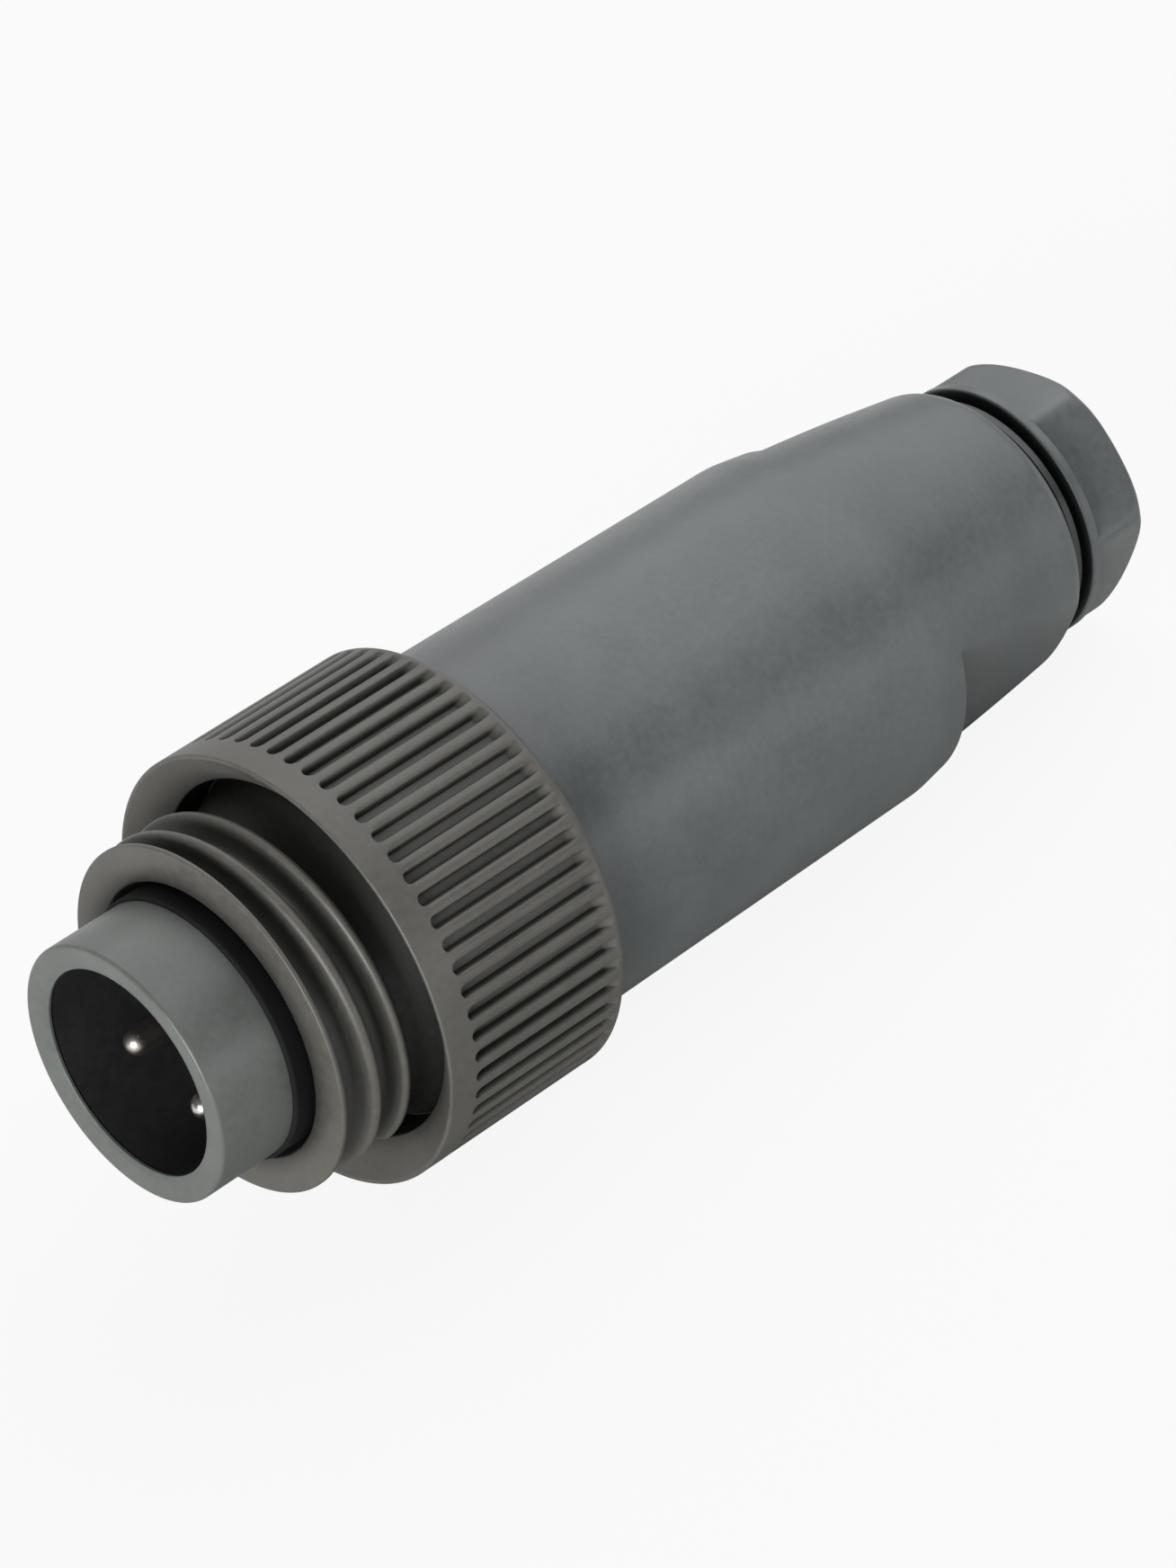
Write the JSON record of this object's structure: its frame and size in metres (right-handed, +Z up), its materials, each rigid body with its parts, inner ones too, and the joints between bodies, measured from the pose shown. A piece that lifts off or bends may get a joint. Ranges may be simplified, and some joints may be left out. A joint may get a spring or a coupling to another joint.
{
  "type": "circular power connector cable plug",
  "caption": "Straight circular cable plug: shrouded pins, coupling ring with a coarse round thread and ribbed grip, tapered housing and hexagon cable gland nut.",
  "frame": {"origin": "centre of the part's box, on the surface it lies on", "axes": "+Z up; the plug lies with its mating end towards -X and its gland nut towards +X, leaning down to the nut; +Y is to the left seen from the rear"},
  "size_m": [0.0836, 0.0298, 0.0324],
  "materials": {
    "housing_grey": "moulded, fine matte grain, bluish grey",
    "ring_grey": "moulded, fine matte grain, warm grey",
    "insert_black": "moulded, black, semi-matte",
    "washer_grey": "moulded, dark grey",
    "contact_silver": "turned brass, silver plated",
    "screw_zinc": "zinc plated steel",
    "clip_steel": "spring steel",
    "seal_rubber": "moulded black rubber"
  },
  "bodies": {
    "shell": {"front_shell": "housing_grey", "contact_insert": "insert_black", "insert_lock_ring": "washer_grey", "ring_clip": "clip_steel", "interface_seal": "seal_rubber", "contact_pin_1": "contact_silver", "contact_pin_2": "contact_silver", "contact_pin_3": "contact_silver", "earth_pin": "contact_silver", "terminal_screw_1": "screw_zinc", "terminal_screw_2": "screw_zinc", "terminal_screw_3": "screw_zinc", "terminal_screw_4": "screw_zinc"},
    "ring": {"coupling_ring": "ring_grey"},
    "housing_seal": {"housing_o_ring": "seal_rubber"},
    "housing": {"housing_sleeve": "housing_grey", "cable_grommet": "seal_rubber", "clamp_ring": "insert_black"},
    "washer": {"thrust_washer": "washer_grey"},
    "nut": {"cap_nut": "housing_grey"}
  },
  "joints": [
    {"name": "ring_spin", "type": "hinge", "parent": "shell", "child": "ring", "pos_m": [-0.02196, 0, 0.01695], "axis": [0.9934, 0, -0.1146], "continuous": true},
    {"name": "housing_travel", "type": "slide", "parent": "shell", "child": "housing_seal", "axis": [0.9934, 0, -0.1146], "range_m": [0, 0.006]},
    {"name": "housing_turn", "type": "hinge", "parent": "housing_seal", "child": "housing", "pos_m": [-0.01402, 0, 0.01603], "axis": [0.9934, 0, -0.1146], "range_deg": [0, 1440]},
    {"name": "nut_travel", "type": "slide", "parent": "housing", "child": "washer", "axis": [0.9934, 0, -0.1146], "range_m": [0, 0.003]},
    {"name": "nut_turn", "type": "hinge", "parent": "washer", "child": "nut", "pos_m": [0.03267, 0, 0.01064], "axis": [0.9934, 0, -0.1146], "range_deg": [0, 720]}
  ],
  "couplings": [
    {"joint": "housing_travel", "follows": "housing_turn", "m_per_rad": 0.00023873},
    {"joint": "nut_travel", "follows": "nut_turn", "m_per_rad": 0.00023873}
  ]
}
